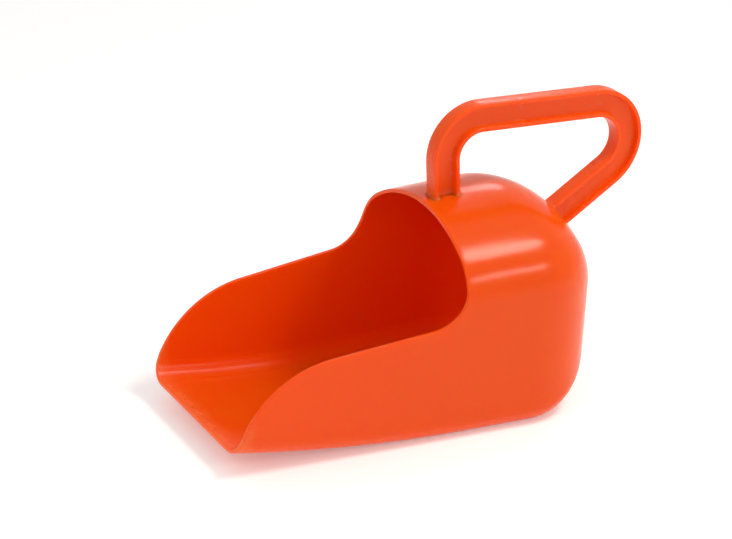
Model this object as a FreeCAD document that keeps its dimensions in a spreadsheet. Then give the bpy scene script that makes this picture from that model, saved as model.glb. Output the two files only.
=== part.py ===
import FreeCAD, Part

import math
import os

import Sketcher

# Hand scoop: an open trough that runs back into a closed hood, with a loop handle on the hood.
# Millimetres. X runs from the lip to the back, Y across, Z up, and the scoop stands on Z = 0.
# The sketches have the lip at X = 0. Both pieces are then moved, so that the origin is on the
# ground under the middle of the whole length.

DIMENSIONS = (
    ("bowl_length", 250.0, "from the lip to the back wall"),
    ("lip_width", 118.5, "across the outside at the lip"),
    ("back_width", 145.2, "across the outside where the side planes reach the back wall"),
    ("mouth_height", 130.0, "crown of the hood at the mouth"),
    ("back_rise", 3.1, "how much higher the crown line is at the back wall than at the rim"),
    ("wall", 2.4, "wall of the whole bowl"),
    ("arch_height", 45.9, "from the top of the upright sides to the crown"),
    ("shoulder_radius", 36.6, "arch beside each upright side"),
    ("bilge_radius", 13.5, "between the floor and each side"),
    ("back_radius", 52.8, "round the back, in plan and over the top"),
    ("heel_radius", 52.5, "between the floor and the back wall"),
    ("lip_rise", 12.6, "underside of the lip above the ground"),
    ("ramp_length", 152.0, "over which the floor rises to the lip"),
    ("sole_depth", 0.3, "cut off the rounded underside, to give a flat sole"),
    ("lip_angle", 79.4, "side edge where it leaves the lip, in degrees"),
    ("cheek_radius", 67.4, "rounded front of each side edge"),
    ("rail_angle", 6.2, "straight part of each side edge, in degrees"),
    ("neck_radius", 23.3, "between the side edge and the rim of the hood"),
    ("rim_station", 147.2, "rim of the hood at its crown, from the lip"),
    ("rim_angle", 87.0, "rim of the hood, in degrees"),
    ("leg_setback", 16.7, "middle of the front leg behind the rim, at the crown"),
    ("leg_lean", 5.1, "front leg, forward of upright, in degrees"),
    ("grip_rise", 47.7, "middle of the grip above the crown at the mouth, at its front end"),
    ("grip_fall", 2.0, "middle of the grip, from its front end down to its back end"),
    ("loop_overhang", 52.3, "back of the loop behind the back wall"),
    ("front_bend", 23.8, "middle line of the loop at its front bend"),
    ("rear_bend", 25.6, "middle line of the loop at its rear bend"),
    ("strut_drop", 7.4, "middle line of the strut below the centre of the back radius"),
    ("loop_width", 17.6, "loop in its own plane, over both flanges"),
    ("loop_depth", 11.0, "loop across, over the flange edges"),
    ("flange_edge", 2.6, "flange at its edge"),
    ("flange_root", 3.3, "flange where it meets the web"),
    ("web", 3.0, "web between the flanges"),
)
FOOT_SINK = 25.0  # start of the front leg's middle line below the crown, before it is trimmed
OVERCUT = 10.0  # how far a cutting body runs past a face that it opens
RAMP_STATIONS = (0.0, 0.25, 0.5, 0.75, 1.0)  # sections along the ramp, as shares of its length
BACK_ANGLES = (0, 15, 30, 45, 60, 75, 90)  # sections round the back, in degrees

os.makedirs("parts", exist_ok=True)
doc = FreeCAD.newDocument("HandScoop")
sheet = doc.addObject("Spreadsheet::Sheet", "dims")
for row, (name, value, meaning) in enumerate(DIMENSIONS, start=1):
    sheet.set(f"A{row}", name)
    sheet.set(f"B{row}", str(value))
    sheet.set(f"C{row}", meaning)
    sheet.setAlias(f"B{row}", name)
doc.recompute()


def reading(expression):
    """The number that an expression of the sheet's cells has now."""
    return float(sheet.evalExpression(expression))


# ---------------------------------------------------------------- sketches

def new_sketch(body, name, role, offset=None):
    """A sketch on one of the body's own origin planes, moved along its normal by offset."""
    sketch = body.newObject("Sketcher::SketchObject", name)
    plane = next(item for item in body.Origin.OriginFeatures if item.Role == role)
    sketch.AttachmentSupport = [(plane, "")]
    sketch.MapMode = "FlatFace"
    if offset is not None:
        sketch.setExpression(".AttachmentOffset.Base.z", offset)
    return sketch


def drive(sketch, kind, *arguments):
    """Add a constraint whose value is the expression given last."""
    *places, expression = arguments
    value = reading(expression)
    if kind == "Angle":
        value = math.radians(value)
        expression = f"({expression}) * 1 deg"
    index = sketch.addConstraint(Sketcher.Constraint(kind, *places, value))
    sketch.setExpression(f"Constraints[{index}]", expression)


def line(sketch, start, end):
    """Add a straight edge between two points and give its number."""
    points = [FreeCAD.Vector(x, y, 0) for x, y in (start, end)]
    return sketch.addGeometry(Part.LineSegment(*points), False)


def arc(sketch, centre, radius, start_angle, end_angle):
    """Add an arc, anticlockwise between two angles in radians, and give its number."""
    circle = Part.Circle(FreeCAD.Vector(centre[0], centre[1], 0), FreeCAD.Vector(0, 0, 1), radius)
    return sketch.addGeometry(Part.ArcOfCircle(circle, start_angle, end_angle), False)


def join(sketch, kind, pairs):
    """Join edge ends, each pair given as edge, end, edge, end."""
    for pair in pairs:
        sketch.addConstraint(Sketcher.Constraint(kind, *pair))


# ---------------------------------------------------------------- cross sections of the bowl

def section_numbers(station, inset, offset):
    """Expressions for one cross section.

    station is its distance from the lip, inset how far the rounding of the back has drawn it
    in, and offset the wall, or 0 for the outside.
    """
    full = (f"((dims.lip_width + (dims.back_width - dims.lip_width) * ({station})"
            f" / dims.bowl_length) / 2)")
    share = f"(({full} - ({inset})) / {full})"
    along = f"((({station}) - dims.rim_station) / (dims.bowl_length - dims.rim_station))"
    crown = (f"(dims.mouth_height + dims.back_rise * {along}"
             f" - ({inset}) - ({offset}))")
    arch = f"((dims.arch_height - ({offset})) * {share})"
    return {
        "half": f"({full} - ({inset}) - ({offset}))",
        "floor": (f"((dims.lip_rise + dims.sole_depth)"
                  f" * max(0; 1 - ({station}) / dims.ramp_length) ^ 2 - dims.sole_depth"
                  f" + ({inset}) * dims.heel_radius / dims.back_radius + ({offset}))"),
        "bilge": f"((dims.bilge_radius - ({offset})) * {share})",
        "shoulder": f"((dims.shoulder_radius - ({offset})) * {share})",
        "arch": arch,
        "spring": f"({crown} - {arch})",
    }


def add_section(body, name, station, inset, offset):
    """Sketch one closed cross section: flat floor, upright sides and a three-centred arch."""
    number = section_numbers(station, inset, offset)
    half, floor, bilge = number["half"], number["floor"], number["bilge"]
    shoulder, arch, spring = number["shoulder"], number["arch"], number["spring"]
    crown_radius = (f"((({half} - {shoulder}) ^ 2 + {arch} ^ 2 - {shoulder} ^ 2)"
                    f" / (2 * ({arch} - {shoulder})))")
    w, z0, r, rs = (reading(text) for text in (half, floor, bilge, shoulder))
    zs, rc = reading(spring), reading(crown_radius)
    zc = zs + reading(arch) - rc
    meet = math.atan2(zs - zc, w - rs)

    sketch = new_sketch(body, name, "YZ_Plane", station)
    base = line(sketch, (r - w, z0), (w - r, z0))
    right_bilge = arc(sketch, (w - r, z0 + r), r, -math.pi / 2, 0)
    right_side = line(sketch, (w, z0 + r), (w, zs))
    right_shoulder = arc(sketch, (w - rs, zs), rs, 0, meet)
    crown = arc(sketch, (0, zc), rc, meet, math.pi - meet)
    left_shoulder = arc(sketch, (rs - w, zs), rs, math.pi - meet, math.pi)
    left_side = line(sketch, (-w, zs), (-w, z0 + r))
    left_bilge = arc(sketch, (r - w, z0 + r), r, math.pi, 1.5 * math.pi)
    ring = (base, right_bilge, right_side, right_shoulder, crown, left_shoulder, left_side,
            left_bilge)
    join(sketch, "Tangent", [(one, 2, other, 1) for one, other in zip(ring, ring[1:] + ring[:1])])
    sketch.addConstraint(Sketcher.Constraint("Horizontal", base))
    sketch.addConstraint(Sketcher.Constraint("Vertical", right_side))
    sketch.addConstraint(Sketcher.Constraint("Vertical", left_side))
    sketch.addConstraint(Sketcher.Constraint("Equal", right_bilge, left_bilge))
    sketch.addConstraint(Sketcher.Constraint("Equal", right_shoulder, left_shoulder))
    drive(sketch, "DistanceX", -1, 1, right_side, 2, half)
    drive(sketch, "DistanceX", left_side, 1, -1, 1, half)
    drive(sketch, "DistanceY", -1, 1, right_side, 2, spring)
    drive(sketch, "DistanceY", -1, 1, left_side, 1, spring)
    drive(sketch, "DistanceY", -1, 1, right_bilge, 3, f"{floor} + {bilge}")
    drive(sketch, "Radius", right_bilge, bilge)
    drive(sketch, "Radius", right_shoulder, shoulder)
    drive(sketch, "Radius", crown, crown_radius)
    return sketch


def add_loft(body, name, sketches):
    """A smooth solid through sketches of the same body."""
    loft = body.newObject("PartDesign::AdditiveLoft", name)
    loft.Profile = sketches[0]
    loft.Sections = sketches[1:]
    return loft


def make_bowl_body(name, offset, front):
    """The bowl as one closed solid, from front to the back wall, drawn in by offset."""
    body = doc.addObject("PartDesign::Body", name)
    ramp = [f"({front}) + (dims.ramp_length - ({front})) * {share}" for share in RAMP_STATIONS]
    ramp_sketches = [add_section(body, f"{name}_ramp_{number}", station, "0", offset)
                     for number, station in enumerate(ramp)]
    radius = f"(dims.back_radius - ({offset}))"
    back_sketches = []
    for angle in BACK_ANGLES:
        station = f"dims.bowl_length - dims.back_radius + {radius} * sin({angle})"
        inset = f"{radius} * (1 - cos({angle}))"
        back_sketches.append(add_section(body, f"{name}_back_{angle}", station, inset, offset))
    doc.recompute()
    add_loft(body, f"{name}_front_half", ramp_sketches)
    add_loft(body, f"{name}_middle", [ramp_sketches[-1], back_sketches[0]])
    add_loft(body, f"{name}_back_half", back_sketches)
    doc.recompute()
    return body


# ---------------------------------------------------------------- mouth

def make_mouth_cutter():
    """What is cut away above the side edges and in front of the hood's rim."""
    body = doc.addObject("PartDesign::Body", "mouth_cutter")
    sketch = new_sketch(body, "mouth_outline", "XZ_Plane")
    lip, rail, rim = (math.radians(reading(f"dims.{key}"))
                      for key in ("lip_angle", "rail_angle", "rim_angle"))
    cheek, neck = reading("dims.cheek_radius"), reading("dims.neck_radius")
    top = "dims.mouth_height + dims.wall + 10"
    top_z = reading(top)
    rim_x = reading("dims.rim_station") + (top_z - reading("dims.mouth_height")) / math.tan(rim)
    lip_z = reading("dims.lip_rise")
    # The cheek's arc starts at the lip and turns down to the rail.
    cheek_centre = (cheek * math.sin(lip), lip_z - cheek * math.cos(lip))
    rail_start = (cheek_centre[0] - cheek * math.sin(rail), cheek_centre[1] + cheek * math.cos(rail))
    # The neck's arc is tangent to the rail and the rim, back from the corner where they meet.
    run = ((rim_x - rail_start[0]) * math.sin(rim) - (top_z - rail_start[1]) * math.cos(rim)) \
        / math.sin(rim - rail)
    back_off = neck * math.tan((rim - rail) / 2)
    rail_end = (rail_start[0] + (run - back_off) * math.cos(rail),
                rail_start[1] + (run - back_off) * math.sin(rail))
    neck_centre = (rail_end[0] - neck * math.sin(rail), rail_end[1] + neck * math.cos(rail))
    rim_start = (neck_centre[0] + neck * math.sin(rim), neck_centre[1] - neck * math.cos(rim))
    below = (-OVERCUT / math.tan(lip), lip_z - OVERCUT)

    nose_line = line(sketch, below, (0, lip_z))
    cheek_arc = arc(sketch, cheek_centre, cheek, rail + math.pi / 2, lip + math.pi / 2)
    rail_line = line(sketch, rail_start, rail_end)
    neck_arc = arc(sketch, neck_centre, neck, rail - math.pi / 2, rim - math.pi / 2)
    rim_line = line(sketch, rim_start, (rim_x, top_z))
    top_line = line(sketch, (rim_x, top_z), (-2 * OVERCUT, top_z))
    front_line = line(sketch, (-2 * OVERCUT, top_z), (-2 * OVERCUT, below[1]))
    bottom_line = line(sketch, (-2 * OVERCUT, below[1]), below)
    join(sketch, "Tangent", [(nose_line, 2, cheek_arc, 2), (cheek_arc, 1, rail_line, 1),
                             (rail_line, 2, neck_arc, 1), (neck_arc, 2, rim_line, 1)])
    join(sketch, "Coincident", [(rim_line, 2, top_line, 1), (top_line, 2, front_line, 1),
                                (front_line, 2, bottom_line, 1), (bottom_line, 2, nose_line, 1)])
    sketch.addConstraint(Sketcher.Constraint("Horizontal", top_line))
    sketch.addConstraint(Sketcher.Constraint("Vertical", front_line))
    sketch.addConstraint(Sketcher.Constraint("Horizontal", bottom_line))
    sketch.addConstraint(Sketcher.Constraint("PointOnObject", nose_line, 2, -2))
    drive(sketch, "DistanceY", -1, 1, nose_line, 2, "dims.lip_rise")
    drive(sketch, "Angle", nose_line, "dims.lip_angle")
    drive(sketch, "Angle", rail_line, "dims.rail_angle")
    drive(sketch, "Angle", rim_line, "dims.rim_angle")
    drive(sketch, "Radius", cheek_arc, "dims.cheek_radius")
    drive(sketch, "Radius", neck_arc, "dims.neck_radius")
    drive(sketch, "DistanceY", -1, 1, rim_line, 2, top)
    drive(sketch, "DistanceX", -1, 1, rim_line, 2,
          f"dims.rim_station + ({top} - dims.mouth_height) / tan(dims.rim_angle)")
    drive(sketch, "DistanceX", front_line, 1, -1, 1, str(2 * OVERCUT))
    drive(sketch, "DistanceY", nose_line, 1, nose_line, 2, str(OVERCUT))

    pad = body.newObject("PartDesign::Pad", "mouth_block")
    pad.Profile = sketch
    pad.Midplane = True
    pad.setExpression("Length", f"dims.back_width + {2 * OVERCUT}")
    doc.recompute()
    return body


def make_ground_block():
    """What is cut away below the flat sole."""
    block = doc.addObject("Part::Box", "ground_block")
    block.setExpression("Length", f"dims.bowl_length + {2 * OVERCUT}")
    block.setExpression("Width", f"dims.back_width + {2 * OVERCUT}")
    block.Height = OVERCUT
    block.Placement.Base = FreeCAD.Vector(-OVERCUT, 0, -OVERCUT)
    block.setExpression(".Placement.Base.y", f"-(dims.back_width / 2 + {OVERCUT})")
    return block


# ---------------------------------------------------------------- handle

def make_loop_body():
    """The handle as one swept I section, with both ends still inside the hood."""
    body = doc.addObject("PartDesign::Body", "loop_band")
    lean = math.radians(reading("dims.leg_lean"))
    front, rear = reading("dims.front_bend"), reading("dims.rear_bend")
    leg_z = f"(dims.mouth_height - {FOOT_SINK})"
    leg_x = f"(dims.rim_station + dims.leg_setback + {FOOT_SINK} * tan(dims.leg_lean))"
    grip_z = "(dims.mouth_height + dims.grip_rise)"
    rear_x = "(dims.bowl_length + dims.loop_overhang - dims.rear_bend - dims.loop_width / 2)"
    strut_x = "(dims.bowl_length - dims.back_radius)"
    strut_z = "(dims.mouth_height + dims.back_rise - dims.back_radius - dims.strut_drop)"

    foot = (reading(leg_x), reading(leg_z))
    grip, grip_fall = reading(grip_z), reading("dims.grip_fall")
    back_off = front * math.tan((math.pi / 2 + lean) / 2)
    corner_x = foot[0] - (grip - foot[1]) * math.tan(lean)
    leg_top = (corner_x + back_off * math.sin(lean), grip - back_off * math.cos(lean))
    grip_start = (corner_x + back_off, grip)
    fall = math.atan2(grip_fall, reading(rear_x) - grip_start[0])
    grip_end = (reading(rear_x) + rear * math.sin(fall), grip - grip_fall)
    front_centre = (grip_start[0] - front * math.sin(fall), grip - front * math.cos(fall))
    rear_centre = (reading(rear_x), grip_end[1] - rear * math.cos(fall))
    strut_foot = (reading(strut_x), reading(strut_z))
    # The strut is the line from its foot that touches the rear bend from outside.
    dx, dz = rear_centre[0] - strut_foot[0], rear_centre[1] - strut_foot[1]
    slope = math.atan2(dz, dx) - math.asin(rear / math.hypot(dx, dz))
    strut_top = (rear_centre[0] + rear * math.sin(slope), rear_centre[1] - rear * math.cos(slope))

    path = new_sketch(body, "loop_path", "XZ_Plane")
    leg_line = line(path, foot, leg_top)
    front_arc = arc(path, front_centre, front, math.pi / 2 - fall, math.pi + lean)
    grip_line = line(path, grip_start, grip_end)
    rear_arc = arc(path, rear_centre, rear, slope - math.pi / 2, math.pi / 2 - fall)
    strut_line = line(path, strut_top, strut_foot)
    join(path, "Tangent", [(leg_line, 2, front_arc, 2), (front_arc, 1, grip_line, 1),
                           (grip_line, 2, rear_arc, 2), (rear_arc, 1, strut_line, 1)])
    drive(path, "Angle", leg_line, "90 + dims.leg_lean")
    drive(path, "Radius", front_arc, "dims.front_bend")
    drive(path, "Radius", rear_arc, "dims.rear_bend")
    drive(path, "DistanceX", -1, 1, leg_line, 1, leg_x)
    drive(path, "DistanceY", -1, 1, leg_line, 1, leg_z)
    drive(path, "DistanceY", -1, 1, grip_line, 1, grip_z)
    drive(path, "DistanceY", grip_line, 2, grip_line, 1, "dims.grip_fall")
    drive(path, "DistanceX", -1, 1, rear_arc, 3, rear_x)
    drive(path, "DistanceX", -1, 1, strut_line, 2, strut_x)
    drive(path, "DistanceY", -1, 1, strut_line, 2, strut_z)

    # The section lies across the foot of the front leg, at right angles to its middle line.
    section = new_sketch(body, "loop_section", "XY_Plane")
    section.setExpression(".AttachmentOffset.Base.x", leg_x)
    section.setExpression(".AttachmentOffset.Base.z", leg_z)
    section.AttachmentOffset = FreeCAD.Placement(
        FreeCAD.Vector(foot[0], 0, foot[1]), FreeCAD.Rotation(FreeCAD.Vector(0, -1, 0), 1))
    section.setExpression(".AttachmentOffset.Rotation.Angle", "dims.leg_lean * 1 deg")
    outer, edge = "dims.loop_width / 2", "(dims.loop_width / 2 - dims.flange_edge)"
    root, deep, thin = "(dims.loop_width / 2 - dims.flange_root)", "dims.loop_depth / 2", "dims.web / 2"
    quarter = ((outer, deep), (edge, deep), (root, thin))
    corners = [(1, 1, *point) for point in quarter]
    corners += [(-1, 1, *point) for point in reversed(quarter)]
    corners += [(-1, -1, *point) for point in quarter]
    corners += [(1, -1, *point) for point in reversed(quarter)]
    places = [(sx * reading(x), sy * reading(y)) for sx, sy, x, y in corners]
    edges = [line(section, one, other) for one, other in zip(places, places[1:] + places[:1])]
    join(section, "Coincident", [(one, 2, other, 1) for one, other in zip(edges, edges[1:] + edges[:1])])
    for number, (sx, sy, x, y) in zip(edges, corners):
        for kind, sign, value in (("DistanceX", sx, x), ("DistanceY", sy, y)):
            ends = (-1, 1, number, 1) if sign > 0 else (number, 1, -1, 1)
            drive(section, kind, *ends, value)
    doc.recompute()

    pipe = body.newObject("PartDesign::AdditivePipe", "loop_sweep")
    pipe.Profile = section
    pipe.Spine = (path, [f"Edge{number}" for number in range(1, 6)])
    pipe.Mode = "Frenet"
    doc.recompute()
    return body


# ---------------------------------------------------------------- pieces

def cut(name, base, tool):
    """base with tool taken away, as a new object."""
    result = doc.addObject("Part::Cut", name)
    result.Base = base
    result.Tool = tool
    result.Label = name
    doc.recompute()
    return result


outside = make_bowl_body("bowl_outside", "0", "0")
cavity = make_bowl_body("bowl_cavity", "dims.wall", f"-{OVERCUT}")
mouth = make_mouth_cutter()
loop = make_loop_body()
standing = cut("standing_form", outside, make_ground_block())
shell = cut("bowl_shell", standing, cavity)
pieces = [cut("scoop_bowl", shell, mouth), cut("loop_handle", loop, outside)]
for piece in pieces:
    piece.setExpression(".Placement.Base.x", "-(dims.bowl_length + dims.loop_overhang) / 2")
doc.recompute()

for item in doc.Objects:
    if "Invalid" in item.State or "Error" in item.State:
        raise RuntimeError(f"{item.Name} failed: {item.State}")
for piece in pieces:
    shape = piece.Shape
    if shape.isNull() or not shape.isValid() or len(shape.Solids) != 1:
        raise RuntimeError(f"{piece.Label} is not one valid solid")
    shape.exportStep(f"parts/{piece.Label}.step")
    box = shape.optimalBoundingBox()
    print(f"{piece.Label}: volume {shape.Volume:.0f} mm3, X {box.XMin:.2f} to {box.XMax:.2f},"
          f" Y {box.YMin:.2f} to {box.YMax:.2f}, Z {box.ZMin:.2f} to {box.ZMax:.2f}")
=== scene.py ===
"""Hand scoop: a hooded bowl with a loop handle, moulded in orange plastic, on a pale bench."""

import logging
import math
from dataclasses import dataclass, field
from enum import Enum
from typing import Callable, Iterable, Sequence

import bmesh
import bpy
from mathutils import Matrix, Vector
from mathutils.bvhtree import BVHTree

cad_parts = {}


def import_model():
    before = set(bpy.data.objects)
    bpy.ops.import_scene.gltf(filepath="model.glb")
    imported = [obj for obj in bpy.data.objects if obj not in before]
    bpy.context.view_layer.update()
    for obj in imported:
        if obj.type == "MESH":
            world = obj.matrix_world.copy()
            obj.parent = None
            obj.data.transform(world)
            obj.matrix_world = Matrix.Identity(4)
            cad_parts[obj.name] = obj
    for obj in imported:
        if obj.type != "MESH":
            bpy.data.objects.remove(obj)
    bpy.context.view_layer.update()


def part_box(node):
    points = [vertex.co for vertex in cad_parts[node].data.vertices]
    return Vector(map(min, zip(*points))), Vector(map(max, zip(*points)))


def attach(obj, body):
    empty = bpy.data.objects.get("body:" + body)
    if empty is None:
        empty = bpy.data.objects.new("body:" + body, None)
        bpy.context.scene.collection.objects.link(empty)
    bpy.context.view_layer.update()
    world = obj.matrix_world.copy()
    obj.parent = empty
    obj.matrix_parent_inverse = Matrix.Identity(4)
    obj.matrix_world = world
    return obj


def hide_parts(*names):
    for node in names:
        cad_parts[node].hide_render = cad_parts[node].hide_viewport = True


MM = 0.001
TINY = 1e-6
EDGE_TURNS = (0.35, 0.7, 1.0)
FOOT_LEVELS = (1.6, 1.0, 0.55, 0.25, 0.05)
LOG = logging.getLogger("hand_scoop")
Point2 = tuple[float, float]
Point3 = tuple[float, float, float]
Colour = tuple[float, float, float]
FLOAT = "NodeSocketFloat"
COLOUR = "NodeSocketColor"


class Slot(Enum):
    """The record's material slots."""

    BOWL = "bowl_plastic"
    HANDLE = "handle_plastic"


# ---------------------------------------------------------------- small helpers

def lerp(start: float, end: float, share: float) -> float:
    """Give the value that lies share of the way from start to end."""
    return start + (end - start) * share


def spread(count: int) -> list[float]:
    """Give count + 1 shares from 0 to 1, evenly spaced."""
    return [step / count for step in range(count + 1)]


def bisect(test: Callable[[float], float], low: float, high: float, rounds: int = 40) -> float:
    """Find where a rising test crosses zero.

    Args:
        test: a function that rises from below zero to above it.
        low: where it is below zero.
        high: where it is above zero.
        rounds: how many times the span is halved.

    Returns:
        The place of the crossing.
    """
    for _ in range(rounds):
        middle = (low + high) / 2
        if test(middle) > 0:
            high = middle
        else:
            low = middle
    return (low + high) / 2


# ---------------------------------------------------------------- bowl

@dataclass(frozen=True)
class BowlForm:
    """Sizes of the bowl in millimetres, with stations measured from the lip."""

    length: float = 250.0
    lip_width: float = 118.5
    back_width: float = 145.2
    mouth_height: float = 130.0
    back_rise: float = 3.1
    wall: float = 2.4
    arch_height: float = 45.9
    shoulder_radius: float = 36.6
    bilge_radius: float = 13.5
    back_radius: float = 52.8
    heel_radius: float = 52.5
    lip_rise: float = 12.6
    ramp_length: float = 152.0
    sole_depth: float = 0.3
    lip_bevel: float = 3.6
    lip_bevel_drop: float = 0.5
    lip_angle: float = 79.4
    cheek_radius: float = 67.4
    rail_angle: float = 6.2
    neck_radius: float = 23.3
    rim_station: float = 147.2
    rim_angle: float = 87.0


@dataclass(frozen=True)
class Section:
    """One cross section: half outline from the middle of the floor, by the side, to the crown.

    A rung is a place on it: 0 to 1 along the floor, to 2 round the bilge, to 3 up the side,
    to 4 round the shoulder and to 5 along the crown.
    """

    half: float
    floor: float
    bilge: float
    spring: float
    shoulder: float
    arch: float

    @property
    def crown_radius(self) -> float:
        """Radius of the middle arc of the arch."""
        inner = self.half - self.shoulder
        return (inner**2 + self.arch**2 - self.shoulder**2) / (2 * (self.arch - self.shoulder))

    @property
    def meet(self) -> float:
        """Angle above level at which the shoulder's arc meets the crown's."""
        return math.atan2(self.crown_radius - self.arch, self.half - self.shoulder)

    def at(self, rung: float) -> Point2:
        """Give (across, up) at a rung."""
        if rung <= 1:
            return (self.half - self.bilge) * rung, self.floor
        if rung <= 2:
            turn = (rung - 1) * math.pi / 2
            return (self.half - self.bilge * (1 - math.sin(turn)),
                    self.floor + self.bilge * (1 - math.cos(turn)))
        if rung <= 3:
            return self.half, lerp(self.floor + self.bilge, self.spring, rung - 2)
        if rung <= 4:
            turn = self.meet * (rung - 3)
            return (self.half - self.shoulder * (1 - math.cos(turn)),
                    self.spring + self.shoulder * math.sin(turn))
        turn = lerp(self.meet, math.pi / 2, rung - 4)
        radius = self.crown_radius
        return radius * math.cos(turn), self.spring + self.arch - radius * (1 - math.sin(turn))

    def rung_at(self, height: float) -> float:
        """Give the rung at a height, from the bilge up."""
        low = self.floor + self.bilge
        if height <= self.floor:
            return 1.0
        if height < low:
            return 1 + math.acos(1 - (height - self.floor) / self.bilge) / (math.pi / 2)
        if height <= self.spring:
            return 2 + (height - low) / (self.spring - low)
        bend = self.spring + self.shoulder * math.sin(self.meet)
        if height < bend:
            return 3 + math.asin((height - self.spring) / self.shoulder) / self.meet
        radius = self.crown_radius
        rise = min(1.0, (height - self.spring - self.arch + radius) / radius)
        return 4 + (math.asin(rise) - self.meet) / (math.pi / 2 - self.meet)


class BowlSurface:
    """The outside or the inside of the bowl."""

    def __init__(self, form: BowlForm, offset: float) -> None:
        """Keep the form and how far the surface lies inside the outer one."""
        self.form = form
        self.offset = offset
        self.turn_start = form.length - form.back_radius

    def section(self, station: float, inset: float = 0.0) -> Section:
        """Give the cross section at a station, drawn in by inset."""
        form, offset = self.form, self.offset
        full = lerp(form.lip_width, form.back_width, station / form.length) / 2
        share = (full - inset) / full
        along = (station - form.rim_station) / (form.length - form.rim_station)
        crown = form.mouth_height + form.back_rise * along - inset - offset
        ramp = (form.lip_rise + form.sole_depth) * max(0.0, 1 - station / form.ramp_length) ** 2
        arch = (form.arch_height - offset) * share
        return Section(
            half=full - inset - offset,
            floor=ramp - form.sole_depth + inset * form.heel_radius / form.back_radius + offset,
            bilge=(form.bilge_radius - offset) * share,
            spring=crown - arch,
            shoulder=(form.shoulder_radius - offset) * share,
            arch=arch,
        )

    def back_section(self, angle: float) -> tuple[float, Section]:
        """Give the station and the section at an angle round the back, in radians."""
        radius = self.form.back_radius - self.offset
        station = self.turn_start + radius * math.sin(angle)
        return station, self.section(station, radius * (1 - math.cos(angle)))

    def point(self, station: float, rung: float) -> Point3:
        """Give (along, across, up) in front of the back's rounding."""
        across, up = self.section(station).at(rung)
        if self.offset > 0:
            bevel = max(0.0, 1 - station / self.form.lip_bevel) * min(1.0, max(0.0, 2 - rung))
            up -= self.form.lip_bevel_drop * bevel
        return station, across, max(up, 0.0)


class MouthLine:
    """The line along which the mouth is cut, seen from the side, from the lip to the rim."""

    def __init__(self, form: BowlForm) -> None:
        """Work out the arcs and lines of the mouth."""
        lip, rail, rim = (math.radians(a) for a in (form.lip_angle, form.rail_angle, form.rim_angle))
        cheek, neck = form.cheek_radius, form.neck_radius
        centre = (cheek * math.sin(lip), form.lip_rise - cheek * math.cos(lip))
        rail_start = (centre[0] - cheek * math.sin(rail), centre[1] + cheek * math.cos(rail))
        top = (form.rim_station, form.mouth_height)
        run = ((top[0] - rail_start[0]) * math.sin(rim)
               - (top[1] - rail_start[1]) * math.cos(rim)) / math.sin(rim - rail)
        back_off = neck * math.tan((rim - rail) / 2)
        rail_run = run - back_off
        rail_end = (rail_start[0] + rail_run * math.cos(rail),
                    rail_start[1] + rail_run * math.sin(rail))
        neck_centre = (rail_end[0] - neck * math.sin(rail), rail_end[1] + neck * math.cos(rail))
        rim_start = (neck_centre[0] + neck * math.sin(rim), neck_centre[1] - neck * math.cos(rim))
        self.rail, self.rim, self.lip = rail, rim, lip
        self.cheek, self.neck = cheek, neck
        self.cheek_centre, self.neck_centre = centre, neck_centre
        self.rail_end, self.rim_start = rail_end, rim_start
        self.lengths = (cheek * (lip - rail), rail_run, neck * (rim - rail),
                        math.dist(rim_start, top) + 40)

    @property
    def cheek_end(self) -> float:
        """Distance along the line at which the cheek ends."""
        return self.lengths[0]

    @property
    def neck_start(self) -> float:
        """Distance along the line at which the neck starts."""
        return self.lengths[0] + self.lengths[1]

    @property
    def neck_end(self) -> float:
        """Distance along the line at which the neck ends."""
        return self.neck_start + self.lengths[2]

    @property
    def length(self) -> float:
        """Whole length of the line, with some to spare at the top."""
        return sum(self.lengths)

    def at(self, distance: float, inset: float = 0.0) -> Point2:
        """Give (along, up) at a distance from the lip, moved by inset into the plastic."""
        if distance <= self.cheek_end:
            heading = self.lip - distance / self.cheek
            radius = self.cheek - inset
            return (self.cheek_centre[0] - radius * math.sin(heading),
                    self.cheek_centre[1] + radius * math.cos(heading))
        if distance <= self.neck_start:
            back = self.neck_start - distance
            along = self.rail_end[0] - back * math.cos(self.rail) + inset * math.sin(self.rail)
            return along, (self.rail_end[1] - back * math.sin(self.rail)
                           - inset * math.cos(self.rail))
        if distance <= self.neck_end:
            heading = self.rail + (distance - self.neck_start) / self.neck
            radius = self.neck + inset
            return (self.neck_centre[0] + radius * math.sin(heading),
                    self.neck_centre[1] - radius * math.cos(heading))
        further = distance - self.neck_end
        along = self.rim_start[0] + further * math.cos(self.rim) + inset * math.sin(self.rim)
        return along, (self.rim_start[1] + further * math.sin(self.rim)
                       - inset * math.cos(self.rim))

    def distance_at_height(self, height: float, inset: float) -> float:
        """Give the distance along the line at which it reaches a height."""
        return bisect(lambda distance: self.at(distance, inset)[1] - height, -5.0, self.length)


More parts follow.
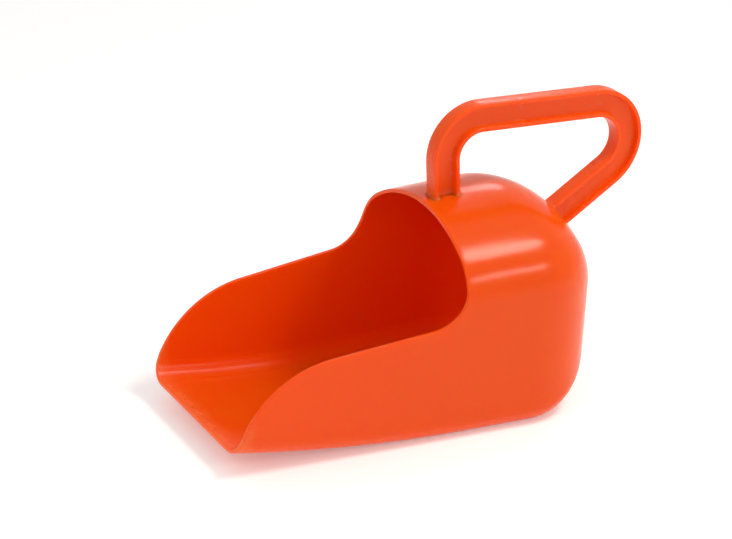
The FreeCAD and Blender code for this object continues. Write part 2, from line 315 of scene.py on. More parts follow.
@dataclass
class MeshDraft:
    """Vertices and faces gathered for one mesh, in millimetres."""

    points: list[Point3] = field(default_factory=list)
    faces: list[tuple[int, ...]] = field(default_factory=list)

    def row(self, points: Iterable[Point3]) -> list[int]:
        """Add points and give their numbers."""
        start = len(self.points)
        self.points.extend(points)
        return list(range(start, len(self.points)))

    def skin(self, rows: Sequence[Sequence[int]], closed: bool = False) -> None:
        """Join rows of equal length with four-sided faces."""
        for one, other in zip(rows, rows[1:]):
            count = len(one)
            for step in range(count if closed else count - 1):
                after = (step + 1) % count
                self.faces.append((one[step], one[after], other[after], other[step]))

    def mesh(self, name: str, lip: float, merge: float = 0.02) -> bpy.types.Mesh:
        """Make the Blender mesh in metres, with the lip at its place in the row frame.

        Args:
            name: name of the mesh.
            lip: X of the lip in metres.
            merge: points nearer than this, in millimetres, become one.

        Returns:
            The new mesh, with its faces turned outward.
        """
        grid = bmesh.new()
        points = [grid.verts.new((lip + x * MM, y * MM, z * MM)) for x, y, z in self.points]
        for face in self.faces:
            corners = [points[number] for number in dict.fromkeys(face)]
            if len(corners) > 2 and grid.faces.get(corners) is None:
                grid.faces.new(corners)
        bmesh.ops.remove_doubles(grid, verts=grid.verts, dist=merge * MM)
        bmesh.ops.dissolve_degenerate(grid, edges=grid.edges, dist=merge * MM / 2)
        bmesh.ops.recalc_face_normals(grid, faces=grid.faces)
        mesh = bpy.data.meshes.new(name)
        grid.to_mesh(mesh)
        grid.free()
        mesh.shade_smooth()
        return mesh


def place(name: str, mesh: bpy.types.Mesh) -> bpy.types.Object:
    """Link a mesh into the scene as a piece."""
    piece = bpy.data.objects.new(name, mesh)
    bpy.context.scene.collection.objects.link(piece)
    return piece


@dataclass
class BowlBuilder:
    """Builds the bowl as one closed shell with rounded edges round its mouth."""

    form: BowlForm = field(default_factory=BowlForm)
    edge_round: float = 0.55
    floor_steps: int = 16
    bilge_steps: int = 8
    side_steps: int = 20
    shoulder_steps: int = 12
    crown_steps: int = 12
    trough_ribs: int = 46
    hood_ribs: int = 18
    back_ribs: int = 22
    patch_rings: int = 6
    rim_rounds: int = 4
    cheek_share: float = 0.42
    neck_share: float = 0.5
    mouth_probe: float = 5.0

    def __post_init__(self) -> None:
        """Prepare the mouth line and the place where the cheek's corner of the grid lies."""
        self.line = MouthLine(self.form)
        self.cheek_corner = self.line.cheek_end * self.cheek_share
        self.neck_corner = lerp(self.line.neck_start, self.line.neck_end, self.neck_share)

    # A half grid is a list of ribs; each rib runs from the middle of the floor upward.

    def side_of_trough(self, surface: BowlSurface, inset: float) -> list[list[Point3]]:
        """Give the trough's half grid, from the lip to the rib that reaches the neck.

        Args:
            surface: the outside or the inside of the bowl.
            inset: how far the grid ends short of the mouth line.

        Returns:
            The ribs, lip first.
        """
        line = self.line
        lip_floor = surface.section(0.0).floor
        bilge_top = surface.section(0.0).bilge + lip_floor
        turn = line.distance_at_height(bilge_top, inset)
        lip_x = line.at(line.distance_at_height(lip_floor, inset), inset)[0]
        turn_x = line.at(turn, inset)[0]
        left_corner = line.at(self.cheek_corner, inset)
        left_top = surface.section(left_corner[0]).rung_at(left_corner[1])
        neck_x, neck_z = line.at(self.neck_corner, inset)
        right_top = surface.section(neck_x).rung_at(neck_z)
        ribs = []
        for share in spread(self.trough_ribs):
            bottom = lerp(lip_x, neck_x, share)
            corner = lerp(turn_x, neck_x, share)
            rib = [surface.point(bottom, rung) for rung in spread(self.floor_steps)]
            for rung in spread(self.bilge_steps)[1:]:
                lean = rung
                if share == 0:
                    height = surface.section(bottom).at(1 + rung)[1]
                    on_line = line.at(line.distance_at_height(height, inset), inset)[0]
                    lean = min(1.0, (on_line - lip_x) / max(turn_x - lip_x, TINY))
                rib.append(surface.point(lerp(bottom, corner, lean), 1 + rung))
            edge = line.at(lerp(self.cheek_corner, self.neck_corner, share), inset)
            top = surface.section(edge[0]).rung_at(edge[1])
            for step in spread(self.side_steps)[1:]:
                on_left = line.at(lerp(turn, self.cheek_corner, step), inset)
                left_rung = surface.section(on_left[0]).rung_at(on_left[1])
                right_rung = lerp(2.0, right_top, step)
                along = (lerp(on_left[0], neck_x, share) + lerp(corner, edge[0], step)
                         - lerp(corner, lerp(left_corner[0], neck_x, share), step))
                rung = (lerp(left_rung, right_rung, share) + lerp(2.0, top, step)
                        - lerp(2.0, lerp(left_top, right_top, share), step))
                rib.append(surface.point(along, rung))
            ribs.append(rib)
        return ribs

    def side_of_hood(self, surface: BowlSurface, inset: float) -> list[list[Point3]]:
        """Give the hood's half grid, from its rim to where the back starts to turn."""
        lower, upper = self.hood_rungs(surface, inset)
        neck_x = self.line.at(self.neck_corner, inset)[0]
        ribs = []
        for share in spread(self.hood_ribs):
            rib = [surface.point(lerp(neck_x, surface.turn_start, share), rung) for rung in lower]
            for rung in upper:
                front = self.rim_station(surface, rung, inset)
                rib.append(surface.point(lerp(front, surface.turn_start, share), rung))
            ribs.append(rib)
        return ribs

    def hood_rungs(self, surface: BowlSurface, inset: float) -> tuple[list[float], list[float]]:
        """Give the hood's rungs below and above the place where the trough's edge meets it."""
        neck_x, neck_z = self.line.at(self.neck_corner, inset)
        neck_rung = surface.section(neck_x).rung_at(neck_z)
        lower = spread(self.floor_steps)
        lower += [1 + rung for rung in spread(self.bilge_steps)[1:]]
        lower += [lerp(2.0, neck_rung, step) for step in spread(self.side_steps)[1:]]
        upper = [lerp(neck_rung, 3.0, step) for step in spread(self.side_steps // 3)[1:]]
        upper += [3 + step for step in spread(self.shoulder_steps)[1:]]
        upper += [4 + step for step in spread(self.crown_steps)[1:]]
        return lower, upper

    def rim_station(self, surface: BowlSurface, rung: float, inset: float) -> float:
        """Give the station at which a rung of the hood meets its rim."""
        station = self.form.rim_station
        for _ in range(self.rim_rounds):
            height = surface.section(station).at(rung)[1]
            station = self.line.at(self.line.distance_at_height(height, inset), inset)[0]
        return station

    def side_of_back(self, surface: BowlSurface, inset: float) -> list[list[Point3]]:
        """Give the half grid of the rounded back and its flat middle."""
        lower, upper = self.hood_rungs(surface, inset)
        ribs = []
        for share in spread(self.back_ribs)[1:]:
            station, section = surface.back_section(share * math.pi / 2)
            points = (section.at(rung) for rung in lower + upper)
            ribs.append([(station, across, max(up, 0.0)) for across, up in points])
        station, section = surface.back_section(math.pi / 2)
        low, high = section.at(0)[1], section.at(5)[1]
        last = ribs[-1]
        count = len(last) - 1
        for share in spread(self.patch_rings)[1:]:
            ribs.append([(station, y * (1 - share), lerp(z, lerp(low, high, step / count), share))
                         for step, (_, y, z) in enumerate(last)])
        return ribs

    def half_sheet(self, draft: MeshDraft, surface: BowlSurface, side: int) -> list[int]:
        """Add one half of the outside or the inside.

        Args:
            draft: the mesh that it is added to.
            surface: the outside or the inside of the bowl.
            side: 1 for the left half, -1 for the right.

        Returns:
            The numbers of the vertices round the mouth, lip first.
        """
        inset = self.edge_round
        trough = self.side_of_trough(surface, inset)
        hood = self.side_of_hood(surface, inset)
        back = self.side_of_back(surface, inset)
        flip = [[(x, y * side, z) for x, y, z in rib] for rib in trough + hood[1:] + back]
        first = [(x, y * side, z) for x, y, z in hood[0]]
        rows = [draft.row(rib) for rib in flip]
        count = len(trough[0])
        rim_row = rows[len(trough) - 1] + draft.row(first[count:])
        draft.skin([row[:count] for row in rows[:len(trough)]])
        draft.skin([rim_row] + rows[len(trough):])
        edge = rows[0][:count] + [row[count - 1] for row in rows[1:len(trough)]]
        return edge + rim_row[count:]

    def build(self, lip: float) -> bpy.types.Mesh:
        """Build the bowl's mesh."""
        draft = MeshDraft()
        outside = BowlSurface(self.form, 0.0)
        inside = BowlSurface(self.form, self.form.wall)
        for side in (1, -1):
            outer = self.half_sheet(draft, outside, side)
            inner = self.half_sheet(draft, inside, side)
            self.close_edge(draft, outer, inner)
        return draft.mesh("scoop_bowl", lip)

    def close_edge(self, draft: MeshDraft, outer: list[int], inner: list[int]) -> None:
        """Join the outside to the inside round the mouth, with both corners rounded."""
        columns = [(Vector(draft.points[one]), Vector(draft.points[other]))
                   for one, other in zip(outer, inner)]
        outward = self.edge_directions([start for start, _ in columns],
                                       [end for _, end in columns])
        rows = [outer]
        for near, order in ((0, EDGE_TURNS), (1, EDGE_TURNS[::-1])):
            for turn in order:
                rise, run = math.sin(turn * math.pi / 2), 1 - math.cos(turn * math.pi / 2)
                points = []
                for column, out in zip(columns, outward):
                    across = (column[1 - near] - column[near]).normalized()
                    points.append(column[near] + (out * rise + across * run) * self.edge_round)
                rows.append(draft.row((x, y if abs(y) > TINY else 0.0, z) for x, y, z in points))
        rows.append(inner)
        draft.skin(rows)

    def edge_directions(self, starts: list[Vector], ends: list[Vector]) -> list[Vector]:
        """Give the direction out of the plastic at each place round the mouth."""
        line = self.line
        directions = []
        count = len(starts)
        for number, (start, end) in enumerate(zip(starts, ends)):
            before = starts[max(0, number - 1)] + ends[max(0, number - 1)]
            after = starts[min(count - 1, number + 1)] + ends[min(count - 1, number + 1)]
            along = (after - before).normalized()
            out = along.cross(end - start).normalized()
            middle = (start + end) / 2
            distance = line.distance_at_height(middle.z, 0.0)
            near, deep = line.at(distance, 0.0), line.at(distance, self.mouth_probe)
            if out.dot(Vector((near[0] - deep[0], 0, near[1] - deep[1]))) < 0:
                out.negate()
            directions.append(out)
        return directions


# ---------------------------------------------------------------- handle

@dataclass(frozen=True)
class LoopForm:
    """Sizes of the loop handle in millimetres."""

    leg_setback: float = 16.7
    leg_lean: float = 5.1
    grip_rise: float = 47.7
    grip_fall: float = 2.0
    overhang: float = 52.3
    front_bend: float = 23.8
    rear_bend: float = 25.6
    strut_drop: float = 7.4
    width: float = 17.6
    depth: float = 11.0
    flange_edge: float = 2.6
    flange_root: float = 3.3
    web: float = 3.0


@dataclass
class LoopBuilder:
    """Builds the loop as an I section swept along its path and let into the hood."""

    bowl: BowlForm = field(default_factory=BowlForm)
    form: LoopForm = field(default_factory=LoopForm)
    edge_round: float = 0.7
    root_round: float = 1.1
    foot_flare: float = 1.6
    flare_rise: float = 2.2
    foot_sink: float = 1.1
    foot_clearance: float = 1.0
    reach: float = 60.0
    corner_steps: int = 4
    fall_rounds: int = 6
    arc_steps: float = 39.2
    run_step: float = 4.0

    def path(self) -> list[tuple[Vector, Vector]]:
        """Give (point, heading) pairs along the middle line, from the leg's foot to the strut's."""
        bowl, form = self.bowl, self.form
        lean = math.radians(form.leg_lean)
        grip = bowl.mouth_height + form.grip_rise
        foot = Vector((bowl.rim_station + form.leg_setback, 0, bowl.mouth_height))
        rear_x = bowl.length + form.overhang - form.rear_bend - form.width / 2
        up = Vector((-math.sin(lean), 0, math.cos(lean)))
        fall = 0.0
        for _ in range(self.fall_rounds):
            front_centre = Vector((0, 0, grip - form.front_bend * math.cos(fall)))
            right = Vector((math.cos(lean), 0, math.sin(lean)))
            rise = (front_centre.z - right.z * form.front_bend - foot.z) / up.z
            leg_end = foot + up * rise
            front_centre.x = leg_end.x + right.x * form.front_bend
            grip_start_x = front_centre.x + form.front_bend * math.sin(fall)
            grip_end_x = rear_x + form.rear_bend * math.sin(fall)
            fall = math.atan2(form.grip_fall, grip_end_x - grip_start_x)
        rear_centre = Vector((rear_x, 0, grip - form.grip_fall - form.rear_bend * math.cos(fall)))
        strut_foot = Vector((bowl.length - bowl.back_radius, 0, bowl.mouth_height + bowl.back_rise
                             - bowl.back_radius - form.strut_drop))
        span = rear_centre - strut_foot
        slope = math.atan2(span.z, span.x) - math.asin(form.rear_bend / span.length)
        strut_top = rear_centre + Vector((math.sin(slope), 0, -math.cos(slope))) * form.rear_bend
        stations: list[tuple[Vector, float]] = []
        self.add_run(stations, foot, leg_end, math.pi / 2 + lean)
        self.add_turn(stations, front_centre, form.front_bend, math.pi / 2 + lean, -fall)
        grip_start = stations[-1][0]
        grip_end = rear_centre + Vector((math.sin(fall), 0, math.cos(fall))) * form.rear_bend
        self.add_run(stations, grip_start, grip_end, -fall)
        self.add_turn(stations, rear_centre, form.rear_bend, -fall, slope - math.pi)
        self.add_run(stations, strut_top, strut_foot, slope - math.pi)
        return [(point, Vector((math.cos(heading), 0, math.sin(heading))))
                for point, heading in stations]

    def add_run(self, stations: list[tuple[Vector, float]], start: Vector, end: Vector,
                heading: float) -> None:
        """Add evenly spaced stations along a straight run, without its first point if it is there."""
        count = max(2, round((end - start).length / self.run_step))
        for share in spread(count)[1 if stations else 0:]:
            stations.append((start.lerp(end, share), heading))

    def add_turn(self, stations: list[tuple[Vector, float]], centre: Vector, radius: float,
                 start: float, end: float) -> None:
        """Add stations round a clockwise bend from one heading to another."""
        count = max(6, round(self.arc_steps * (start - end) / math.pi))
        for share in spread(count)[1:]:
            heading = lerp(start, end, share)
            left = Vector((-math.sin(heading), 0, math.cos(heading)))
            stations.append((centre + left * radius, heading))

    def outline(self) -> list[Point2]:
        """Give the I section as (out of the loop, across) points, with rounded corners."""
        form = self.form
        outer, deep, thin = form.width / 2, form.depth / 2, form.web / 2
        edge, root = outer - form.flange_edge, outer - form.flange_root
        quarter = [(outer, deep, self.edge_round), (edge, deep, self.edge_round),
                   (root, thin, self.root_round)]
        corners = list(quarter)
        corners += [(-x, y, r) for x, y, r in reversed(quarter)]
        corners += [(-x, -y, r) for x, y, r in quarter]
        corners += [(x, -y, r) for x, y, r in reversed(quarter)]
        points: list[Point2] = []
        for number, (x, y, radius) in enumerate(corners):
            here = Vector((x, y))
            back = (Vector(corners[number - 1][:2]) - here).normalized()
            ahead = (Vector(corners[(number + 1) % len(corners)][:2]) - here).normalized()
            half = back.angle(ahead) / 2
            reach = radius / math.tan(half)
            centre = here + (back + ahead).normalized() * (radius / math.sin(half))
            start, end = here + back * reach - centre, here + ahead * reach - centre
            for share in spread(self.corner_steps):
                ray = start.slerp(end, share).normalized() * radius
                points.append(tuple(centre + ray))
        return points

    def build(self, lip: float, wall: BVHTree) -> bpy.types.Mesh:
        """Build the loop's mesh.

        Args:
            lip: X of the lip in metres.
            wall: the bowl's surface in row-frame metres, which both feet run into.

        Returns:
            The mesh of the loop.
        """
        path = self.path()
        outline = self.outline()
        spread_out = self.outward(outline)
        draft = MeshDraft()
        rings: list[list[Point3]] = []
        for point, heading in path:
            out = Vector((-heading.z, 0, heading.x))
            rings.append([tuple(point + out * x + Vector((0, y, 0))) for x, y in outline])
        leg_foot, leg_top = self.foot(outline, spread_out, path[0], 1, lip, wall)
        strut_foot, strut_top = self.foot(outline, spread_out, path[-1], -1, lip, wall)
        middle = len(path) // 2
        body = []
        for number, (ring, (where, _)) in enumerate(zip(rings, path)):
            (end, along), top = path[0], leg_top
            if number > middle:
                (end, along), top = (path[-1][0], -path[-1][1]), strut_top
            if (where - end).dot(along) > top or abs(number - middle) < middle // 2:
                body.append(ring)
        rows = [draft.row(ring) for ring in leg_foot[::-1] + body + strut_foot]
        draft.skin(rows, closed=True)
        draft.faces.append(tuple(rows[0]))
        draft.faces.append(tuple(reversed(rows[-1])))
        return draft.mesh("loop_handle", lip, merge=0.002)

    def outward(self, outline: list[Point2]) -> list[Vector]:
        """Give the direction out of the section at each of its points."""
        count = len(outline)
        following = outline[1:] + outline[:1]
        area = sum(x0 * y1 - x1 * y0 for (x0, y0), (x1, y1) in zip(outline, following))
        way = -1 if area < 0 else 1
        directions = []
        for number in range(count):
            before, after = Vector(outline[number - 1]), Vector(outline[(number + 1) % count])
            along = (after - before).normalized()
            directions.append(Vector((along.y, -along.x)) * way)
        return directions

    def foot(self, outline: list[Point2], spread_out: list[Vector], end: tuple[Vector, Vector],
             way: int, lip: float, wall: BVHTree) -> tuple[list[list[Point3]], float]:
        """Build one foot, flared where it meets the hood.

        Args:
            outline: the section of the loop.
            spread_out: the direction out of the section at each of its points.
            end: point and heading of the middle line at the foot.
            way: 1 where the heading leads away from the hood, -1 where it leads into it.
            lip: X of the lip in metres.
            wall: the bowl's surface in row-frame metres.

        Returns:
            The foot's rings from the top down, and how far along the loop they reach.
        """
        point, heading = end
        away = heading * way
        out = Vector((-heading.z, 0, heading.x))
        anchor = point + away * self.reach
        hits = []
        for x, y in outline:
            here = anchor + out * x + Vector((0, y, 0))
            hit = wall.ray_cast(Vector((lip + here.x * MM, here.y * MM, here.z * MM)), -away)
            hits.append(self.reach - hit[3] / MM)
        top = self.foot_flare * self.flare_rise
        rings = []
        for level in (top, *FOOT_LEVELS, -self.foot_sink):
            flare = self.foot_flare * max(0.0, 1 - max(level, 0.0) / top) ** 3
            ring = []
            for (x, y), side, reach in zip(outline, spread_out, hits):
                moved = out * (x + side.x * flare) + Vector((0, y + side.y * flare, 0))
                ring.append(tuple(point + away * (reach + level) + moved))
            rings.append(ring)
        return rings, max(hits) + top + self.foot_clearance


# ---------------------------------------------------------------- finishes

@dataclass(frozen=True)
class NodeSet:
    """A node tree with short calls to add and link nodes."""

    tree: bpy.types.NodeTree

    def add(self, kind: str, **values: object) -> bpy.types.Node:
        """Add a node; values are its properties, or its inputs where it has no such property."""
        node = self.tree.nodes.new(kind)
        for key, value in values.items():
            if hasattr(node, key):
                setattr(node, key, value)
            else:
                node.inputs[key.replace("_", " ")].default_value = value
        return node

    def link(self, source: bpy.types.NodeSocket, target: bpy.types.NodeSocket) -> None:
        """Join an output to an input."""
        self.tree.links.new(source, target)

    def mix(self, share: bpy.types.NodeSocket, first: bpy.types.NodeSocket,
            second: bpy.types.NodeSocket) -> bpy.types.NodeSocket:
        """Blend two colours."""
        node = self.add("ShaderNodeMix", data_type="RGBA")
        for name, source in (("Factor_Float", share), ("A_Color", first), ("B_Color", second)):
            target = next(socket for socket in node.inputs if socket.identifier == name)
            self.link(source, target)
        return next(socket for socket in node.outputs if socket.identifier == "Result_Color")

    def use(self, group: bpy.types.NodeTree, where: bpy.types.NodeSocket,
            **values: object) -> bpy.types.NodeSocket:
        """Add a group fed with coordinates and values, and give its output."""
        node = self.add("ShaderNodeGroup", node_tree=group, **values)
        self.link(where, node.inputs["Vector"])
        return node.outputs[0]


@dataclass(frozen=True)
class Effect:
    """A shader node group with named inputs and one named output."""

    name: str
    inputs: tuple[tuple[str, str], ...]
    output: tuple[str, str]

    def start(self) -> tuple[NodeSet, bpy.types.Node, bpy.types.Node]:
        """Make the empty group and give its nodes, its entry and its exit."""
        tree = bpy.data.node_groups.new(self.name, "ShaderNodeTree")
        for label, kind in self.inputs:
            tree.interface.new_socket(name=label, in_out="INPUT", socket_type=kind)
        tree.interface.new_socket(name=self.output[0], in_out="OUTPUT", socket_type=self.output[1])
        nodes = NodeSet(tree)
        return nodes, nodes.add("NodeGroupInput"), nodes.add("NodeGroupOutput")


def mould_texture() -> bpy.types.NodeTree:
    """Make the height of the slow ripples and the fine grain that the mould leaves."""
    nodes, entry, leave = Effect("mould_texture", (
        ("Vector", "NodeSocketVector"), ("Ripple Scale", FLOAT), ("Grain Scale", FLOAT),
        ("Grain Share", FLOAT)), ("Height", FLOAT)).start()
    ripple = nodes.add("ShaderNodeTexNoise", Detail=1.0, Roughness=0.4)
    grain = nodes.add("ShaderNodeTexNoise", Detail=3.0, Roughness=0.6)
    for noise, scale in ((ripple, "Ripple Scale"), (grain, "Grain Scale")):
        nodes.link(entry.outputs["Vector"], noise.inputs["Vector"])
        nodes.link(entry.outputs[scale], noise.inputs["Scale"])
    fine = nodes.add("ShaderNodeMath", operation="MULTIPLY")
    nodes.link(grain.outputs[0], fine.inputs[0])
    nodes.link(entry.outputs["Grain Share"], fine.inputs[1])
    total = nodes.add("ShaderNodeMath", operation="ADD")
    nodes.link(ripple.outputs[0], total.inputs[0])
    nodes.link(fine.outputs[0], total.inputs[1])
    nodes.link(total.outputs[0], leave.inputs["Height"])
    return nodes.tree


def handling_marks() -> bpy.types.NodeTree:
    """Make a mask of faint rub marks, drawn out along the scoop, with finer scratches."""
    nodes, entry, leave = Effect("handling_marks", (
        ("Vector", "NodeSocketVector"), ("Rub Scale", FLOAT), ("Scratch Scale", FLOAT),
        ("Amount", FLOAT)), ("Mask", FLOAT)).start()
    drawn = nodes.add("ShaderNodeVectorMath", operation="MULTIPLY")
    drawn.inputs[1].default_value = (0.12, 1.0, 1.0)
    nodes.link(entry.outputs["Vector"], drawn.inputs[0])
    masks = []
    for source, scale, low, high in ((entry.outputs["Vector"], "Rub Scale", 0.52, 0.72),
                                     (drawn.outputs[0], "Scratch Scale", 0.62, 0.7)):
        noise = nodes.add("ShaderNodeTexNoise", Detail=4.0, Roughness=0.62)
        nodes.link(source, noise.inputs["Vector"])
        nodes.link(entry.outputs[scale], noise.inputs["Scale"])
        mask = nodes.add("ShaderNodeMapRange", From_Min=low, From_Max=high)
        nodes.link(noise.outputs[0], mask.inputs["Value"])
        masks.append(mask.outputs[0])
    both = nodes.add("ShaderNodeMath", operation="MAXIMUM")
    nodes.link(masks[0], both.inputs[0])
    nodes.link(masks[1], both.inputs[1])
    shown = nodes.add("ShaderNodeMath", operation="MULTIPLY", use_clamp=True)
    nodes.link(both.outputs[0], shown.inputs[0])
    nodes.link(entry.outputs["Amount"], shown.inputs[1])
    nodes.link(shown.outputs[0], leave.inputs["Mask"])
    return nodes.tree


def lip_wear() -> bpy.types.NodeTree:
    """Make a mask that is full at the lip and fades out, broken up by noise, behind it."""
    nodes, entry, leave = Effect("lip_wear", (
        ("Vector", "NodeSocketVector"), ("Lip", FLOAT), ("Width", FLOAT)), ("Mask", FLOAT)).start()
    split = nodes.add("ShaderNodeSeparateXYZ")
    nodes.link(entry.outputs["Vector"], split.inputs[0])
    behind = nodes.add("ShaderNodeMath", operation="SUBTRACT")
    nodes.link(split.outputs["X"], behind.inputs[0])
    nodes.link(entry.outputs["Lip"], behind.inputs[1])
    along = nodes.add("ShaderNodeMath", operation="DIVIDE")
    nodes.link(behind.outputs[0], along.inputs[0])
    nodes.link(entry.outputs["Width"], along.inputs[1])
    noise = nodes.add("ShaderNodeTexNoise", Scale=180.0, Detail=3.0)
    nodes.link(entry.outputs["Vector"], noise.inputs["Vector"])
    ragged = nodes.add("ShaderNodeMath", operation="ADD")
    nodes.link(along.outputs[0], ragged.inputs[0])
    nodes.link(noise.outputs[0], ragged.inputs[1])
    fade = nodes.add("ShaderNodeMapRange", From_Min=1.5, From_Max=0.5)
    nodes.link(ragged.outputs[0], fade.inputs["Value"])
    nodes.link(fade.outputs[0], leave.inputs["Mask"])
    return nodes.tree


def flow_tint() -> bpy.types.NodeTree:
    """Make the colour, with the slow change in tint that the plastic has from its flow."""
    nodes, entry, leave = Effect("flow_tint", (
        ("Vector", "NodeSocketVector"), ("Colour", COLOUR), ("Deeper", COLOUR),
        ("Paler", COLOUR), ("Wear", FLOAT)), ("Colour", COLOUR)).start()
    noise = nodes.add("ShaderNodeTexNoise", Scale=9.0, Detail=2.0, Distortion=0.6)
    nodes.link(entry.outputs["Vector"], noise.inputs["Vector"])
    flow = nodes.mix(noise.outputs[0], entry.outputs["Colour"], entry.outputs["Deeper"])
    worn = nodes.mix(entry.outputs["Wear"], flow, entry.outputs["Paler"])
    nodes.link(worn, leave.inputs["Colour"])
    return nodes.tree


@dataclass(frozen=True)
class Effects:
    """The node groups that both plastics share."""

    texture: bpy.types.NodeTree
    marks: bpy.types.NodeTree
    wear: bpy.types.NodeTree
    tint: bpy.types.NodeTree

    @classmethod
    def make(cls) -> "Effects":
        """Make all of them."""
        return cls(mould_texture(), handling_marks(), lip_wear(), flow_tint())


@dataclass(frozen=True)
class MouldedPlastic:
    """Semi-gloss moulded plastic that lets a little light through."""

    name: str
    colour: Colour
    deeper: Colour
    paler: Colour
    polished: float = 0.2
    rubbed: float = 0.32
    gloss: float = 0.2
    scatter_depth: float = 0.008
    scatter_radius: Colour = (1.0, 0.12, 0.03)
    ripple_scale: float = 34.0
    grain_scale: float = 1500.0
    grain_share: float = 0.012
    relief: float = 0.0006
    marks: float = 0.6
    worn_width: float = 0.012
    rub_scale: float = 22.0
    scratch_scale: float = 420.0
    index: float = 1.49

    def make(self, effects: Effects, lip: float) -> bpy.types.Material:
        """Make the material.

        Args:
            effects: the shared node groups.
            lip: X of the lip in metres.

        Returns:
            The new material.
        """
        material = bpy.data.materials.new(self.name)
        material.use_nodes = True
        nodes = NodeSet(material.node_tree)
        shader = material.node_tree.nodes["Principled BSDF"]
        where = nodes.add("ShaderNodeTexCoord").outputs["Object"]
        wear = nodes.use(effects.wear, where, Lip=lip, Width=self.worn_width)
        marks = nodes.use(effects.marks, where, Rub_Scale=self.rub_scale,
                          Scratch_Scale=self.scratch_scale, Amount=self.marks)
        tint = nodes.use(effects.tint, where, Colour=(*self.colour, 1), Deeper=(*self.deeper, 1),
                         Paler=(*self.paler, 1))
        nodes.link(wear, tint.node.inputs["Wear"])
        nodes.link(tint, shader.inputs["Base Color"])
        dull = nodes.add("ShaderNodeMath", operation="MAXIMUM")
        nodes.link(marks, dull.inputs[0])
        nodes.link(wear, dull.inputs[1])
        rough = nodes.add("ShaderNodeMapRange", To_Min=self.polished, To_Max=self.rubbed)
        nodes.link(dull.outputs[0], rough.inputs["Value"])
        nodes.link(rough.outputs[0], shader.inputs["Roughness"])
        height = nodes.use(effects.texture, where, Ripple_Scale=self.ripple_scale,
                           Grain_Scale=self.grain_scale, Grain_Share=self.grain_share)
        bump = nodes.add("ShaderNodeBump", Strength=1.0, Distance=self.relief)
        nodes.link(height, bump.inputs["Height"])
        nodes.link(bump.outputs[0], shader.inputs["Normal"])
        shader.inputs["IOR"].default_value = self.index
        shader.inputs["Specular IOR Level"].default_value = self.gloss
        shader.inputs["Subsurface Weight"].default_value = 1.0
        shader.inputs["Subsurface Radius"].default_value = self.scatter_radius
        shader.inputs["Subsurface Scale"].default_value = self.scatter_depth
        return material


# ---------------------------------------------------------------- pieces

@dataclass
class Scoop:
    """The two pieces of the scoop."""

    bowl: BowlForm = field(default_factory=BowlForm)
    bowl_finish: MouldedPlastic = MouldedPlastic(
        "bowl_orange", colour=(0.77, 0.086, 0.002), deeper=(0.74, 0.072, 0.001),
        paler=(0.76, 0.14, 0.03))
    handle_finish: MouldedPlastic = MouldedPlastic(
        "handle_orange", colour=(0.74, 0.09, 0.003), deeper=(0.7, 0.076, 0.002),
        paler=(0.76, 0.14, 0.03), polished=0.24, rubbed=0.38, ripple_scale=60.0, relief=0.0003,
        marks=0.8)

    def build(self) -> list[bpy.types.Object]:
        """Build both pieces where the design has them."""
        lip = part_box("scoop_bowl")[0].x
        bowl = place("bowl", BowlBuilder(self.bowl).build(lip))
        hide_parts("scoop_bowl")
        wall = BVHTree.FromPolygons([v.co for v in bowl.data.vertices],
                                    [tuple(p.vertices) for p in bowl.data.polygons])
        handle = place("handle", LoopBuilder(self.bowl).build(lip, wall))
        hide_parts("loop_handle")
        pieces = [bowl, handle]
        for piece in pieces:
            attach(piece, "root")
        return pieces

    def dress(self, pieces: list[bpy.types.Object]) -> None:
        """Give each piece its finish."""
        effects = Effects.make()
        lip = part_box("scoop_bowl")[0].x
        for piece, finish in zip(pieces, (self.bowl_finish, self.handle_finish)):
            piece.data.materials.append(finish.make(effects, lip))


# ---------------------------------------------------------------- surroundings

@dataclass(frozen=True)
class Lamp:
    """One soft lamp that points at a place."""

    name: str
    place: Point3
    aim: Point3
    size: tuple[float, float]
    power: float
    colour: tuple[float, float, float] = (1.0, 1.0, 1.0)

    def make(self) -> None:
        """Add the lamp to the scene."""
        light = bpy.data.lights.new(self.name, "AREA")
        light.shape = "RECTANGLE"
        light.size, light.size_y = self.size
        light.energy = self.power
        light.color = self.colour
        lamp = bpy.data.objects.new(self.name, light)
        lamp.location = self.place
        facing = Vector(self.aim) - Vector(self.place)
        lamp.rotation_euler = facing.to_track_quat("-Z", "Y").to_euler()
        bpy.context.scene.collection.objects.link(lamp)


@dataclass(frozen=True)
class Viewpoint:
    """Where the camera stands, as angles and distances from a point of the scoop."""

    azimuth: float = -29.855
    elevation: float = 23.892
    roll: float = 2.955
    distance: float = 1.4957
    lens: float = 2469.2 * 36 / 732
    aim: Point3 = (0.125, 0.0, 0.065)
    slide: Point2 = (-0.00954, 0.02027)

    def make(self, lip: float) -> None:
        """Add the camera, with the aim measured from the lip."""
        azimuth, elevation, roll = (math.radians(a) for a in
                                    (self.azimuth, self.elevation, self.roll))
        back = Vector((math.sin(azimuth) * math.cos(elevation),
                       -math.cos(azimuth) * math.cos(elevation), math.sin(elevation)))
        level = Vector((math.cos(azimuth), math.sin(azimuth), 0))
        above = back.cross(level)
        right = level * math.cos(roll) + above * math.sin(roll)
        up = above * math.cos(roll) - level * math.sin(roll)
        where = (Vector(self.aim) + Vector((lip, 0, 0)) + right * self.slide[0]
                 + up * self.slide[1] + back * self.distance)
        camera = bpy.data.cameras.new("camera")
        camera.lens = self.lens
        camera.sensor_width = 36
        item = bpy.data.objects.new("camera", camera)
        turn = Matrix((right, up, back)).transposed().to_4x4()
        item.matrix_world = Matrix.Translation(where) @ turn
        bpy.context.scene.collection.objects.link(item)
        bpy.context.scene.camera = item


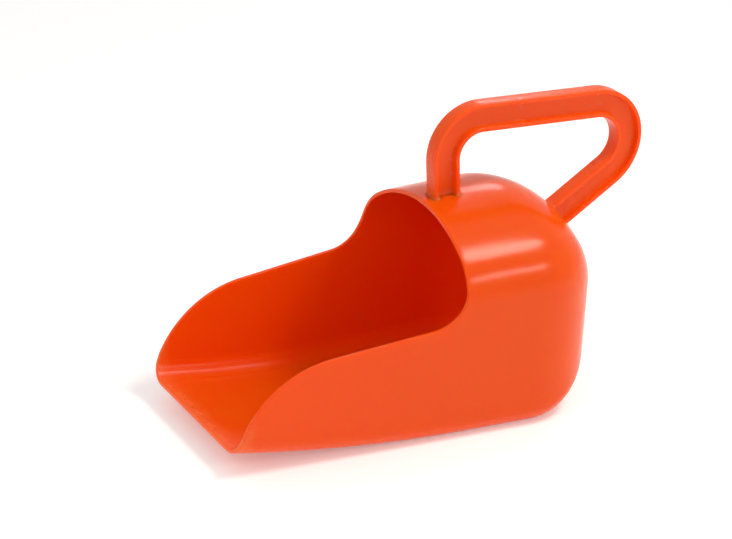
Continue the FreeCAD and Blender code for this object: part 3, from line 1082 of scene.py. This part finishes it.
@dataclass(frozen=True)
class Bench:
    """The pale floor and the soft light over it."""

    floor_size: float = 6.0
    floor_colour: tuple[float, float, float] = (0.9, 0.9, 0.9)
    sky: tuple[float, float, float] = (1.0, 1.0, 1.0)
    floor_glow: float = 0.24
    sky_strength: float = 0.68
    lamps: tuple[Lamp, ...] = (
        Lamp("overhead", (0.42, -0.28, 1.0), (0.0, 0.0, 0.05), (0.34, 0.24), 5.0, (1.0, 0.93, 0.82)),
        Lamp("side", (0.45, -0.88, 0.6), (0.02, 0.0, 0.06), (0.24, 0.12), 1.4, (1.0, 0.93, 0.82)),
        Lamp("behind", (0.61, 0.88, 0.62), (-0.06, 0.04, 0.0), (0.14, 0.08), 0.35),
        Lamp("front", (-0.95, -0.3, 0.75), (0.02, 0.0, 0.06), (0.6, 0.6), 1.6, (1.0, 0.93, 0.9)),
    )

    def make(self) -> None:
        """Add the floor, the lamps and the even light around."""
        bpy.ops.mesh.primitive_plane_add(size=self.floor_size)
        floor = bpy.context.object
        floor.name = "bench_top"
        material = bpy.data.materials.new("bench_white")
        material.use_nodes = True
        shader = material.node_tree.nodes["Principled BSDF"]
        shader.inputs["Base Color"].default_value = (*self.floor_colour, 1)
        shader.inputs["Roughness"].default_value = 0.6
        shader.inputs["Emission Color"].default_value = (*self.floor_colour, 1)
        shader.inputs["Emission Strength"].default_value = self.floor_glow
        floor.data.materials.append(material)
        for lamp in self.lamps:
            lamp.make()
        world = bpy.data.worlds.new("even_light")
        world.use_nodes = True
        background = world.node_tree.nodes["Background"]
        background.inputs["Color"].default_value = (*self.sky, 1)
        background.inputs["Strength"].default_value = self.sky_strength
        bpy.context.scene.world = world
        bpy.context.scene.view_settings.view_transform = "Standard"


def main() -> None:
    """Build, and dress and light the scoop."""
    logging.basicConfig(level=logging.INFO, format="%(name)s: %(message)s")
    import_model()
    scoop = Scoop()
    pieces = scoop.build()
    scoop.dress(pieces)
    for piece in pieces:
        LOG.info("%s: %d faces", piece.name, len(piece.data.polygons))
    Bench().make()
    Viewpoint().make(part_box("scoop_bowl")[0].x)


if __name__ == "__main__":
    main()
